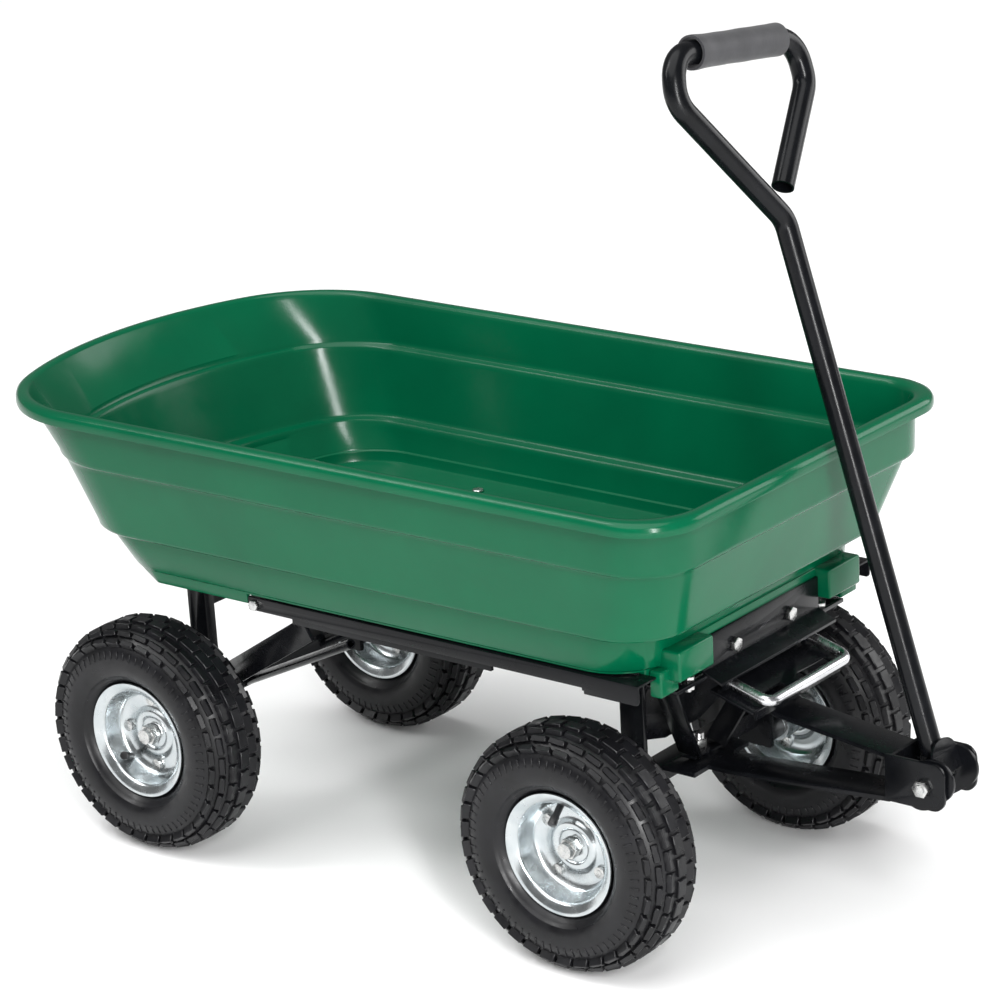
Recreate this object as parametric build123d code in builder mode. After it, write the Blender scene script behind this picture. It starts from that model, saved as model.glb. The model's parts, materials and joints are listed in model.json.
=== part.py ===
"""Tipping garden cart, built as separate named sub-parts with real joints.

Frame: millimetres, +Z up, +X forward to the pull handle, +Y the cart's left.
The origin is on the ground, in the middle of the overall length and width.
"""

from build123d import *
from math import cos, radians, sin, sqrt
import os

os.makedirs("parts", exist_ok=True)

# ---------------------------------------------------------------- driving dimensions
# running gear
rear_x = -338.4
wheelbase = 560.0
track = 390.0
wheel_radius = 127.0
tyre_width = 82.0
tyre_crown_drop = 9.0
tyre_wall = 6.0
rim_flange_radius = 64.0
rim_well_radius = 51.0
rim_width = 54.0
rim_sheet = 2.5
hub_radius = 17.0
hub_inner_face = -44.0
hub_outer_face = 5.0
axle_radius = 8.0
running_gap = 0.05
rim_bolt_circle = 37.0
rim_bolt_count = 4

# rear axle beam
beam_bottom = 135.0
beam_height = 20.0
beam_depth = 25.0
beam_wall = 3.0
beam_half_length = 122.0
end_plate = 6.0

# steering beam, which lies just behind the front axle line
steer_beam_bottom = 136.0
steer_beam_top = 155.0
steer_beam_depth = 22.0
steer_beam_back = 13.0
kingpin_forward = 10.0
kingpin_radius = 6.0

# tub levels: height, half width at rear, half width at front, rear apex x, front face x,
# radius of the two rear corners
tub_floor = (303.0, 202.0, 197.0, -26.0, 644.0, 14.0)
tub_seam = (317.0, 205.0, 199.0, -69.0, 645.0, 84.0)
tub_step_two_low = (353.0, 213.0, 206.0, -94.0, 648.0, 80.0)
tub_step_two = (358.0, 226.0, 218.0, -108.0, 674.0, 96.0)
tub_step_one_low = (430.0, 239.0, 233.0, -142.0, 699.0, 108.0)
tub_step_one = (435.0, 247.0, 241.0, -150.0, 707.0, 126.0)
tub_wall_top = (490.0, 249.0, 243.0, -192.0, 708.0, 138.0)
tub_wall = 4.0
tub_floor_top = 318.0
tub_rear_arc = 430.0
tub_front_corner = 62.0
rim_top = 494.0
rim_skirt = 479.0
rim_reach = 13.0
rim_round = 6.0

# rear pivot of the tub
pivot_z = 290.0
pivot_radius = 5.0
upright_y = 111.0
upright_width = 14.0
upright_depth = 25.0

# side rails
rail_outer = 203.0
rail_top = 312.0
rail_height = 14.0
rail_flange = 30.0
rail_sheet = 2.5
rail_rear = 158.0
rail_front = 648.0
rail_bolt_x = 166.0

# front pedestal
bolster_z = 284.0
bolster_sheet = 4.0
leg_y = 96.0
leg_thickness = 6.0
leg_depth = 28.0
foot_z = 155.0

# tongue and clevis, forward of the kingpin
tongue_width = 46.0
tongue_sheet = 5.0
tongue_front = 250.0
tongue_top_front = 212.0
tongue_bottom_front = 168.0
clevis_forward = 292.0
clevis_z = 190.0
clevis_half = 31.0
clevis_sheet = 4.0

# pull handle
handle_lean = 17.0
tube_radius = 11.0
tube_bore = 9.0
grip_radius = 15.0
grip_length = 134.0
tube_start = 24.0
# centre line of the loop: left of the shaft is negative, second value runs up the handle
loop_start = 553.0
loop_left_low = (-112.0, 687.0)
loop_left_high = (-98.0, 727.8)
loop_right_high = (90.0, 709.7)
loop_right_low = (90.0, 666.0)
loop_end = (10.5, 581.6)
loop_bend = 28.0

# latch
latch_x = 674.0
latch_z = 270.0
latch_tilt = 16.0
latch_rod = 5.5
latch_half = 70.0

front_x = rear_x + wheelbase
kingpin_x = front_x + kingpin_forward
wheel_z = wheel_radius


def at(x):
    """X in the cart's frame from a distance forward of the rear axle."""
    return rear_x + x


# ---------------------------------------------------------------- tub
def tub_loop(level, inset=0.0, raise_by=0.0):
    """One closed tub section: bowed rear end, tapering sides, straight front."""
    z, half_rear, half_front, x_rear, x_front, rear_corner = level
    half_rear = half_rear - inset
    half_front = half_front - inset
    x_back = at(x_rear) + inset
    x_face = at(x_front) - inset
    sagitta = tub_rear_arc - sqrt(tub_rear_arc**2 - half_rear**2)
    with BuildSketch(Plane.XY.offset(z + raise_by)) as loop:
        with BuildLine():
            ThreePointArc(
                (x_back + sagitta, -half_rear),
                (x_back, 0),
                (x_back + sagitta, half_rear),
            )
            Polyline(
                (x_back + sagitta, half_rear),
                (x_face, half_front),
                (x_face, -half_front),
                (x_back + sagitta, -half_rear),
            )
        make_face()
        fillet(loop.vertices().group_by(Axis.X)[-1], tub_front_corner - inset)
        fillet(loop.vertices().group_by(Axis.X)[0], rear_corner - inset)
    return loop.sketch


outer_levels = [
    tub_floor,
    tub_seam,
    tub_step_two_low,
    tub_step_two,
    tub_step_one_low,
    tub_step_one,
    tub_wall_top,
]
lip_level = (
    rim_top,
    tub_wall_top[1] + rim_reach,
    tub_wall_top[2] + rim_reach,
    tub_wall_top[3] - rim_reach,
    tub_wall_top[4] + rim_reach,
    tub_wall_top[5] + rim_reach,
)
floor_inside = (tub_floor_top, 205.0, 199.0, -69.0, 637.0, 84.0)
block_half = 158.0
notch_half = 101.0
block_top = 334.0
foot_bottom = 289.0
pad_back = 640.0
pad_low = 294.0
bracket_face = 648.5
bracket_bolt_z = 304.0

with BuildPart() as tub:
    loft(sections=[tub_loop(level) for level in outer_levels], ruled=True)
    # rolled lip round the top
    with BuildPart() as lip:
        with BuildSketch(Plane.XY.offset(rim_skirt)):
            add(tub_loop(lip_level).moved(Location((0, 0, rim_skirt - rim_top))))
        extrude(amount=rim_top - rim_skirt)
        fillet(lip.faces().sort_by(Axis.Z)[-1].edges(), rim_round)
    add(lip.part)
    with BuildPart(mode=Mode.SUBTRACT) as lip_groove:
        with BuildSketch(Plane.XY.offset(rim_skirt)):
            add(tub_loop(lip_level, inset=3.0).moved(Location((0, 0, rim_skirt - rim_top))))
            add(
                tub_loop(tub_wall_top).moved(Location((0, 0, rim_skirt - tub_wall_top[0]))),
                mode=Mode.SUBTRACT,
            )
        extrude(amount=rim_top - rim_skirt - 4.0)
    # front blocks beside the latch bracket, and a foot under each front corner
    for side in (-1, 1):
        with Locations((at(654.0), side * (block_half + notch_half) / 2, (303.0 + block_top) / 2)):
            Box(28.0, block_half - notch_half, block_top - 303.0)
        with Locations((at(645.0), side * 156.5, (foot_bottom + 312.0) / 2)):
            Box(14.0, 29.0, 312.0 - foot_bottom)
    # flat pad between the blocks for the latch bracket
    with Locations((at((pad_back + bracket_face) / 2), 0, (pad_low + block_top) / 2)):
        Box(bracket_face - pad_back, 2 * notch_half, block_top - pad_low)
    for side in (-1, 1):
        with Locations(Location((at(bracket_face), side * 48.0, bracket_bolt_z), (0, 90, 0))):
            Cylinder(4.0, 30.0, mode=Mode.SUBTRACT)
    # inside
    inner_levels = [
        tub_loop(floor_inside, inset=tub_wall),
        tub_loop(tub_step_two_low, inset=tub_wall, raise_by=tub_wall),
        tub_loop(tub_step_two, inset=tub_wall, raise_by=tub_wall),
        tub_loop(tub_step_one_low, inset=tub_wall, raise_by=tub_wall),
        tub_loop(tub_step_one, inset=tub_wall, raise_by=tub_wall),
        tub_loop((rim_top + 1.0,) + tub_wall_top[1:], inset=tub_wall),
    ]
    loft(sections=inner_levels, ruled=True, mode=Mode.SUBTRACT)
    # open underside inside the skirt
    with BuildPart(mode=Mode.SUBTRACT) as underside:
        with BuildSketch(Plane.XY.offset(tub_floor[0] - 1.0)):
            add(tub_loop(tub_floor, inset=tub_wall).moved(Location((0, 0, -1.0))))
        extrude(amount=12.0)
    # room for the side rails along both sides of the skirt
    for side in (-1, 1):
        with Locations((at((rail_rear + rail_front) / 2), side * 192.0, 307.0)):
            Box(rail_front - rail_rear + 6.0, 41.0, 14.0, mode=Mode.SUBTRACT)
tub.part.label = "tub"
export_step(tub.part, "parts/tub.step")

# ---------------------------------------------------------------- side rails
rail_middle = at((rail_rear + rail_front) / 2)
for name, side in (("left", 1), ("right", -1)):
    with BuildPart() as rail:
        with Locations((rail_middle, side * (rail_outer - rail_sheet / 2), rail_top - rail_height / 2)):
            Box(rail_front - rail_rear, rail_sheet, rail_height)
        with Locations((rail_middle, side * (rail_outer - rail_flange / 2), rail_top - rail_sheet / 2)):
            Box(rail_front - rail_rear, rail_flange, rail_sheet)
        # deeper front end where the pedestal joins
        with Locations((at(616.0), side * (rail_outer - rail_sheet / 2), rail_top - 10.0)):
            Box(64.0, rail_sheet, 20.0)
        front_corners = rail.edges().filter_by(Axis.Y).group_by(Axis.X)[-1].sort_by(Axis.Z)
        fillet(front_corners[0], 4.0)
        # hole for the rear bolt
        with Locations(Location((at(rail_bolt_x), side * rail_outer, rail_top - 8.0), (90, 0, 0))):
            Cylinder(3.0, 12.0, mode=Mode.SUBTRACT)
    rail.part.label = "rail_" + name
    export_step(rail.part, "parts/rail_" + name + ".step")

# ---------------------------------------------------------------- rear axle frame
shoulder_y = beam_half_length + end_plate + 11.3
with BuildPart() as rear_axle_frame:
    with Locations((rear_x, 0, beam_bottom + beam_height / 2)):
        Box(beam_depth, 2 * beam_half_length, beam_height)
        Box(
            beam_depth - 2 * beam_wall,
            2 * beam_half_length - 20.0,
            beam_height - 2 * beam_wall,
            mode=Mode.SUBTRACT,
        )
    for side in (-1, 1):
        # end plate, stub axle and its shoulder
        with Locations((rear_x, side * (beam_half_length + end_plate / 2), beam_bottom)):
            Box(30.0, end_plate, 44.0)
        with Locations(Location((rear_x, side * shoulder_y, wheel_z), (90, 0, 0))):
            Cylinder(13.0, 22.6)
        with Locations(Location((rear_x, side * (track / 2 - 26.0), wheel_z), (90, 0, 0))):
            Cylinder(axle_radius, 94.0)
        # upright that carries the tub's pivot
        with Locations((rear_x, side * upright_y, (beam_bottom + beam_height + pivot_z) / 2)):
            Box(upright_depth, upright_width, pivot_z - beam_bottom - beam_height)
        with Locations(Location((rear_x, side * upright_y, pivot_z), (90, 0, 0))):
            Cylinder(upright_depth / 2, upright_width)
            Cylinder(pivot_radius, upright_width + 2.0, mode=Mode.SUBTRACT)
    # cross tie between the uprights
    with Locations((rear_x, 0, 252.0)):
        Box(4.0, 2 * upright_y - upright_width + 2.0, 26.0)
rear_axle_frame.part.label = "rear_axle_frame"
export_step(rear_axle_frame.part, "parts/rear_axle_frame.step")

# ---------------------------------------------------------------- diagonal braces and tie tubes
brace_top = Vector(at(232.0), 198.5, 289.0)
brace_foot = Vector(at(8.0), 124.0, 152.0)
brace_width = 26.0
brace_sheet = 4.0
tie_top = Vector(at(284.0), 193.0, 281.0)
tie_foot = Vector(at(10.0), 62.0, 140.0)
tie_radius = 5.0


def mirrored(point, side):
    """The same point on the left (+1) or right (-1) side of the cart."""
    return Vector(point.X, side * point.Y, point.Z)


for name, side in (("left", 1), ("right", -1)):
    top = mirrored(brace_top, side)
    low = mirrored(brace_foot, side)
    along = (low - top).normalized()
    across = Vector(0, side, 0).cross(along).normalized()
    with BuildPart() as brace:
        # side plate welded inside the rail
        with Locations((at(342.0), side * 198.5, 299.5)):
            Box(256.0, 4.0, 16.0)
        # diagonal strap from the plate down to the axle beam
        middle = (top + low) * 0.5
        with BuildSketch(Plane(origin=middle, x_dir=along, z_dir=along.cross(across))):
            Rectangle((low - top).length, brace_width)
        extrude(amount=brace_sheet / 2, both=True)
        # welded to the axle beam's end plate and upright
        add(rear_axle_frame.part, mode=Mode.SUBTRACT)
    brace.part.label = "brace_" + name
    export_step(brace.part, "parts/brace_" + name + ".step")

    top = mirrored(tie_top, side)
    low = mirrored(tie_foot, side)
    along = (low - top).normalized()
    with BuildPart() as tie_tube:
        with BuildSketch(Plane(origin=top, z_dir=along)):
            Circle(tie_radius)
            Circle(tie_radius - 1.6, mode=Mode.SUBTRACT)
        extrude(amount=(low - top).length)
        # cut flush against the front of the axle beam
        split(bisect_by=Plane.YZ.offset(rear_x + beam_depth / 2), keep=Keep.TOP)
    tie_tube.part.label = "tie_tube_" + name
    export_step(tie_tube.part, "parts/tie_tube_" + name + ".step")

# ---------------------------------------------------------------- front pedestal
tab_bolt = (643.0, 115.0)
with BuildPart() as front_pedestal:
    # top plate under the rails, with a tab each side for its bolts
    with Locations((at(600.0), 0, bolster_z + bolster_sheet / 2)):
        Box(104.0, 240.0, bolster_sheet)
    for side in (-1, 1):
        with Locations((at(634.0), side * 128.0, bolster_z + bolster_sheet / 2)):
            Box(36.0, 36.0, bolster_sheet)
        # arm from the top plate out to the rail
        with Locations((at(600.0), side * 160.0, 296.0)):
            Box(40.0, 81.0, 4.0)
        with Locations((at(600.0), side * 121.0, bolster_z + 7.0)):
            Box(40.0, 4.0, 14.0)
        # legs
        with Locations((front_x + 1.0, side * leg_y, (bolster_z + 174.0) / 2)):
            Box(leg_depth, leg_thickness, bolster_z - 174.0)
        with Locations((at(tab_bolt[0]), side * tab_bolt[1], bolster_z)):
            Cylinder(3.0, 20.0, mode=Mode.SUBTRACT)
    # web between the legs, cut to a shallow V underneath and open over the tongue
    with BuildSketch(Plane(origin=(front_x - 13.0, 0, 0), x_dir=(0, 1, 0), z_dir=(1, 0, 0))):
        Polygon(
            (-leg_y, bolster_z),
            (-34.0, bolster_z),
            (-34.0, bolster_z - 18.0),
            (34.0, bolster_z - 18.0),
            (34.0, bolster_z),
            (leg_y, bolster_z),
            (leg_y, 196.0),
            (30.0, 177.0),
            (-30.0, 177.0),
            (-leg_y, 196.0),
            align=None,
        )
    extrude(amount=4.0)
    # upper kingpin hole
    with Locations((kingpin_x, 0, bolster_z + bolster_sheet / 2)):
        Cylinder(kingpin_radius, 12.0, mode=Mode.SUBTRACT)
front_pedestal.part.label = "front_pedestal"
export_step(front_pedestal.part, "parts/front_pedestal.step")

# ---------------------------------------------------------------- vee straps under the pedestal
strap_width = 25.0
strap_sheet = 4.0
foot_sheet = 3.0
strap_foot_z = steer_beam_top + 0.2
strap_top = Vector(at(612.0), 116.0, bolster_z - 2.0)
strap_low = Vector(at(575.0), 22.0, strap_foot_z + 4.0)

for name, side in (("left", 1), ("right", -1)):
    stack = 0.0 if side == 1 else foot_sheet
    top = mirrored(strap_top, side)
    low = mirrored(strap_low, side) + Vector(0, 0, stack)
    along = (low - top).normalized()
    with BuildPart() as vee_strap:
        middle = (top + low) * 0.5
        with BuildSketch(Plane(origin=middle, x_dir=along, z_dir=along.cross(Vector(1, 0, 0)))):
            Rectangle((low - top).length, strap_width)
        extrude(amount=strap_sheet / 2, both=True)
        # flat foot round the kingpin
        with Locations((kingpin_x + 5.0, side * 15.0, strap_foot_z + stack + foot_sheet / 2)):
            Box(16.0, 22.0, foot_sheet)
        with Locations((kingpin_x, 0, strap_foot_z + stack + foot_sheet / 2)):
            Cylinder(11.5, foot_sheet)
        with Locations((kingpin_x, 0, strap_foot_z + stack + foot_sheet / 2)):
            Cylinder(kingpin_radius, 4 * foot_sheet, mode=Mode.SUBTRACT)
        # top end bolted under the top plate
        with Locations((at(612.0), side * 117.0, bolster_z - strap_sheet / 2)):
            Box(strap_width, 22.0, strap_sheet)
        split(bisect_by=Plane.XY.offset(bolster_z), keep=Keep.BOTTOM)
        split(bisect_by=Plane.XY.offset(strap_foot_z + stack), keep=Keep.TOP)
    vee_strap.part.label = "vee_strap_" + name
    export_step(vee_strap.part, "parts/vee_strap_" + name + ".step")

# ---------------------------------------------------------------- steering axle and tongue
steer_beam_x = front_x - steer_beam_back
steer_beam_middle = (steer_beam_bottom + steer_beam_top) / 2
with BuildPart() as steering_axle:
    with Locations((steer_beam_x, 0, steer_beam_middle)):
        Box(steer_beam_depth, 2 * beam_half_length, steer_beam_top - steer_beam_bottom)
    for side in (-1, 1):
        with Locations((front_x - 6.0, side * (beam_half_length + end_plate / 2), 135.0)):
            Box(40.0, end_plate, 40.0)
        with Locations(Location((front_x, side * shoulder_y, wheel_z), (90, 0, 0))):
            Cylinder(13.0, 22.6)
        with Locations(Location((front_x, side * (track / 2 - 26.0), wheel_z), (90, 0, 0))):
            Cylinder(axle_radius, 94.0)
steering_axle.part.label = "steering_axle"
export_step(steering_axle.part, "parts/steering_axle.step")

top_bend = 118.0
top_bend_z = 227.0
top_rear_z = bolster_z - tongue_sheet - 0.3
low_bend = 62.0
low_z = steer_beam_top - tongue_sheet
with BuildPart() as tongue:
    # upper strap to the upper kingpin and lower strap to the beam, joined by the front web
    with BuildSketch(Plane.XZ.offset(-tongue_width / 2)):
        Polygon(
            (kingpin_x - 15.0, top_rear_z),
            (kingpin_x - 15.0, top_rear_z + tongue_sheet),
            (front_x + 44.0, top_rear_z + tongue_sheet),
            (front_x + top_bend + 2.0, top_bend_z + 2.0),
            (front_x + tongue_front, tongue_top_front),
            (front_x + tongue_front, tongue_bottom_front - tongue_sheet),
            (front_x + low_bend, low_z),
            (front_x - 2.0, low_z),
            (front_x - 2.0, low_z + tongue_sheet),
            (front_x + low_bend, low_z + tongue_sheet),
            (front_x + tongue_front - tongue_sheet, tongue_bottom_front),
            (front_x + tongue_front - tongue_sheet, tongue_top_front - tongue_sheet + 1.0),
            (front_x + top_bend, top_bend_z - 3.0),
            (front_x + 42.0, top_rear_z),
            align=None,
        )
    extrude(amount=tongue_width)
    # wide plate against the beam round the kingpin
    with Locations((front_x + 18.0, 0, low_z + tongue_sheet / 2)):
        Box(40.0, 96.0, tongue_sheet)
    # clevis cheeks with rounded ends
    for side in (-1, 1):
        with BuildSketch(Plane.XZ.offset(-side * (clevis_half - clevis_sheet / 2))):
            with Locations((front_x + tongue_front + 33.0, clevis_z + 2.0)):
                cheek = Rectangle(66.0, 48.0)
            fillet(cheek.vertices().group_by(Axis.X)[-1], 13.0)
        extrude(amount=clevis_sheet / 2, both=True)
    # cross piece of the clevis against the web
    with Locations((front_x + tongue_front + 2.0, 0, clevis_z)):
        Box(4.0, 2 * clevis_half, 44.0)
    with Locations((kingpin_x, 0, 210.0)):
        Cylinder(kingpin_radius + running_gap, 300.0, mode=Mode.SUBTRACT)
    with Locations(Location((front_x + clevis_forward, 0, clevis_z), (90, 0, 0))):
        Cylinder(5.0, 100.0, mode=Mode.SUBTRACT)
tongue.part.label = "tongue"
export_step(tongue.part, "parts/tongue.step")

# ---------------------------------------------------------------- pull handle
lean = radians(handle_lean)
handle_base = Plane(
    origin=(front_x + clevis_forward, 0, clevis_z),
    x_dir=(0, 1, 0),
    z_dir=(cos(lean), 0, sin(lean)),
)
# in this plane x is the cart's left and y runs up the handle
bracket_half = 22.0
with BuildPart() as handle_bracket:
    for side in (-1, 1):
        cheek_centre = handle_base.origin + Vector(0, side * bracket_half, 0)
        with BuildSketch(Plane(origin=cheek_centre, x_dir=(cos(lean), 0, sin(lean)), z_dir=(0, -1, 0))):
            SlotCenterPoint((0, 0), (9.0, 3.0), 44.0)
        extrude(amount=2.0, both=True)
    # closed back of the channel
    with BuildSketch(handle_base.offset(tube_radius)):
        with Locations((0, 20.0)):
            plate = Rectangle(2 * bracket_half, 34.0)
        fillet(plate.vertices().group_by(Axis.Y)[-1], 18.0)
    extrude(amount=3.0)
    with Locations(Location((front_x + clevis_forward, 0, clevis_z), (90, 0, 0))):
        Cylinder(5.06, 100.0, mode=Mode.SUBTRACT)
handle_bracket.part.label = "handle_bracket"
export_step(handle_bracket.part, "parts/handle_bracket.step")

with BuildPart() as pull_tube:
    with BuildLine(handle_base) as tube_path:
        FilletPolyline(
            (0.0, tube_start),
            (0.0, loop_start),
            loop_left_low,
            loop_left_high,
            loop_right_high,
            loop_right_low,
            loop_end,
            radius=loop_bend,
        )
    with BuildSketch(handle_base.location * Location((0, tube_start, 0), (-90, 0, 0))):
        Circle(tube_radius)
        Circle(tube_bore, mode=Mode.SUBTRACT)
    sweep(path=tube_path.line)
pull_tube.part.label = "pull_tube"
export_step(pull_tube.part, "parts/pull_tube.step")

with BuildPart() as grip:
    left_end = handle_base.from_local_coords(Vector(*loop_left_high, 0))
    right_end = handle_base.from_local_coords(Vector(*loop_right_high, 0))
    middle = handle_base.from_local_coords(Vector(-4.0, 718.75, 0))
    with BuildSketch(Plane(origin=middle, z_dir=(right_end - left_end).normalized())):
        Circle(grip_radius)
        Circle(tube_radius, mode=Mode.SUBTRACT)
    extrude(amount=grip_length / 2, both=True)
    fillet(grip.edges().filter_by(GeomType.CIRCLE).group_by(SortBy.RADIUS)[-1], 2.0)
grip.part.label = "grip"
export_step(grip.part, "parts/grip.step")


def placed(part, x, y, z, turn):
    """A part moved to a place and turned."""
    return part.moved(Location((x, y, z), turn))


def make_bolt(shank, length, head, head_high, nut_at=0.0, nut_high=0.0, washer=0.0):
    """A bolt along -Z from its head's underside at the origin, with a nut where asked."""
    with BuildPart() as made:
        with BuildSketch():
            RegularPolygon(head, 6)
        extrude(amount=head_high)
        with Locations((0, 0, -length / 2)):
            Cylinder(shank, length)
        if washer:
            with Locations((0, 0, 0.6)):
                Cylinder(washer, 1.2)
        if nut_high:
            with BuildSketch(Plane.XY.offset(-nut_at)):
                RegularPolygon(head, 6)
            extrude(amount=-nut_high)
    return made.part


# ---------------------------------------------------------------- latch
tilt = radians(latch_tilt)
latch_plane = Plane(
    origin=(at(latch_x), 0, latch_z),
    x_dir=(cos(tilt), 0, -sin(tilt)),
    z_dir=(sin(tilt), 0, cos(tilt)),
)
bracket_sheet = 3.0
latch_plate_half = 100.5
hood_edge = latch_x - 2.0

with BuildPart() as latch_bracket:
    # plate bolted to the tub, bent forward into a hood over the latch
    with BuildSketch(Plane.XZ.offset(-latch_plate_half)):
        Polygon(
            (at(bracket_face), 326.0),
            (at(bracket_face), 291.0),
            (at(hood_edge), 281.5),
            (at(hood_edge), 284.2),
            (at(bracket_face + bracket_sheet), 293.0),
            (at(bracket_face + bracket_sheet), 326.0),
            align=None,
        )
    extrude(amount=2 * latch_plate_half)
    for side in (-1, 1):
        # lug that guides one leg of the latch handle
        with Locations((at(659.0), side * latch_half, 277.85)):
            Box(5.0, 20.0, 19.3)
        with Locations(latch_plane.location * Location((-16.0, side * latch_half, 0), (0, 90, 0))):
            Cylinder(latch_rod + running_gap, 40.0, mode=Mode.SUBTRACT)
        with Locations(Location((at(bracket_face), side * 48.0, bracket_bolt_z), (0, 90, 0))):
            Cylinder(4.0, 20.0, mode=Mode.SUBTRACT)
latch_bracket.part.label = "latch_bracket"
export_step(latch_bracket.part, "parts/latch_bracket.step")

with BuildPart() as latch_handle:
    with BuildLine(latch_plane) as latch_path:
        FilletPolyline(
            (-22.0, -latch_half),
            (33.0, -latch_half),
            (33.0, latch_half),
            (-22.0, latch_half),
            radius=11.0,
        )
    with BuildSketch(latch_plane.location * Location((-22.0, -latch_half, 0), (0, 90, 0))):
        Circle(latch_rod)
    sweep(path=latch_path.line)
latch_handle.part.label = "latch_handle"
export_step(latch_handle.part, "parts/latch_handle.step")

with BuildPart() as latch_keeper:
    # plate fixed to the pedestal, under the latch handle, with two long slots
    with BuildSketch(latch_plane.offset(-latch_rod - 6.1)):
        with Locations((0.5, 0)):
            Rectangle(51.0, 172.0)
        for side in (-1, 1):
            with Locations((16.0, side * 38.5)):
                Rectangle(11.0, 47.0, mode=Mode.SUBTRACT)
    extrude(amount=3.0)
    # lip turned down along the front edge
    with Locations(latch_plane.location * Location((24.5, 0, -latch_rod - 10.1))):
        Box(3.0, 150.0, 14.0)
    # back flange welded under the pedestal's top plate
    with Locations((at(650.5), 0, (bolster_z + 262.0) / 2)):
        Box(3.0, 110.0, bolster_z - 262.0)
    with Locations((at(646.0), 0, bolster_z - 1.5)):
        Box(12.0, 110.0, 3.0)
latch_keeper.part.label = "latch_keeper"
export_step(latch_keeper.part, "parts/latch_keeper.step")

# ---------------------------------------------------------------- tub pivot brackets and pins
with BuildPart() as pivot_brackets:
    for side in (-1, 1):
        for offset in (-1, 1):
            with BuildSketch(Plane.XZ.offset(-side * upright_y - offset * (upright_width / 2 + 2.0))):
                with Locations((rear_x, pivot_z)):
                    Circle(11.0)
                with Locations((at(15.0), pivot_z + 12.0)):
                    Rectangle(30.0, 24.0)
                with Locations((rear_x, pivot_z)):
                    Circle(pivot_radius + running_gap, mode=Mode.SUBTRACT)
            extrude(amount=1.25, both=True)
        with Locations((at(21.0), side * upright_y, 312.5)):
            Box(40.0, upright_width + 24.0, 3.0)
pivot_brackets.part.label = "pivot_brackets"
export_step(pivot_brackets.part, "parts/pivot_brackets.step")

with BuildPart() as pivot_pins:
    for side in (-1, 1):
        with Locations(Location((rear_x, side * upright_y, pivot_z), (90, 0, 0))):
            Cylinder(pivot_radius, upright_width + 16.0)
        for offset in (-1, 1):
            head_y = side * upright_y + offset * (upright_width / 2 + 7.0)
            with Locations(Location((rear_x, head_y, pivot_z), (90, 0, 0))):
                Cylinder(8.5, 5.0)
pivot_pins.part.label = "pivot_pins"
export_step(pivot_pins.part, "parts/pivot_pins.step")

# ---------------------------------------------------------------- fasteners
short_bolt = make_bolt(3.0, 8.0, 6.0, 3.5, nut_at=rail_sheet, nut_high=4.0)
tab_bolt_shape = make_bolt(3.0, 12.0, 7.0, 4.5, nut_at=bolster_sheet, nut_high=5.0)
with BuildPart() as frame_bolts:
    for side in (-1, 1):
        turn = (-90 * side, 0, 0)
        add(placed(short_bolt, at(rail_bolt_x), side * rail_outer, rail_top - 8.0, turn))
        top_face = bolster_z + bolster_sheet
        add(placed(tab_bolt_shape, at(tab_bolt[0]), side * tab_bolt[1], top_face, (0, 0, 0)))
frame_bolts.part.label = "frame_bolts"
export_step(frame_bolts.part, "parts/frame_bolts.step")

lower_pin = make_bolt(kingpin_radius, 27.0, 9.0, 8.0)
upper_pin = make_bolt(kingpin_radius, 21.0, 9.0, 7.5)
with BuildPart() as kingpin_lower:
    # head under the tongue's lower strap, nut above the strap feet
    add(placed(lower_pin, kingpin_x, 0, low_z - 0.2, (180, 0, 0)))
    with BuildSketch(Plane.XY.offset(strap_foot_z + 2 * foot_sheet)):
        with Locations((kingpin_x, 0)):
            RegularPolygon(9.0, 6)
    extrude(amount=9.0)
kingpin_lower.part.label = "kingpin_lower"
export_step(kingpin_lower.part, "parts/kingpin_lower.step")

with BuildPart() as kingpin_upper:
    # head above the pedestal's top plate, nut under the tongue's upper strap
    add(placed(upper_pin, kingpin_x, 0, bolster_z + bolster_sheet, (0, 0, 0)))
    with BuildSketch(Plane.XY.offset(top_rear_z - 0.3)):
        with Locations((kingpin_x, 0)):
            RegularPolygon(9.0, 6)
    extrude(amount=-8.0)
kingpin_upper.part.label = "kingpin_upper"
export_step(kingpin_upper.part, "parts/kingpin_upper.step")

with BuildPart() as clevis_bolt:
    with Locations(Location((front_x + clevis_forward, 0, clevis_z), (90, 0, 0))):
        Cylinder(5.0, 2 * clevis_half + 14.0)
    for side in (-1, 1):
        with BuildSketch(Plane.XZ.offset(-side * (clevis_half + 2.8))):
            with Locations((front_x + clevis_forward, clevis_z)):
                RegularPolygon(9.0, 6)
        extrude(amount=2.7, both=True)
clevis_bolt.part.label = "clevis_bolt"
export_step(clevis_bolt.part, "parts/clevis_bolt.step")

latch_bolt = make_bolt(4.0, 17.5, 7.5, 5.0, nut_at=bracket_face + bracket_sheet - pad_back, nut_high=5.0)
with BuildPart() as tub_bolts:
    for side in (-1, 1):
        spot = (at(bracket_face + bracket_sheet), side * 48.0, bracket_bolt_z)
        add(placed(latch_bolt, *spot, (0, 90, 0)))
tub_bolts.part.label = "tub_bolts"
export_step(tub_bolts.part, "parts/tub_bolts.step")

# ---------------------------------------------------------------- wheels
half_tyre = tyre_width / 2
half_rim = rim_width / 2


def on_axle(x, side):
    """Where a wheel sits: its local +Z points outward along the axle."""
    return Location((x, side * track / 2, wheel_z), (-90 * side, 0, 0))


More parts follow.
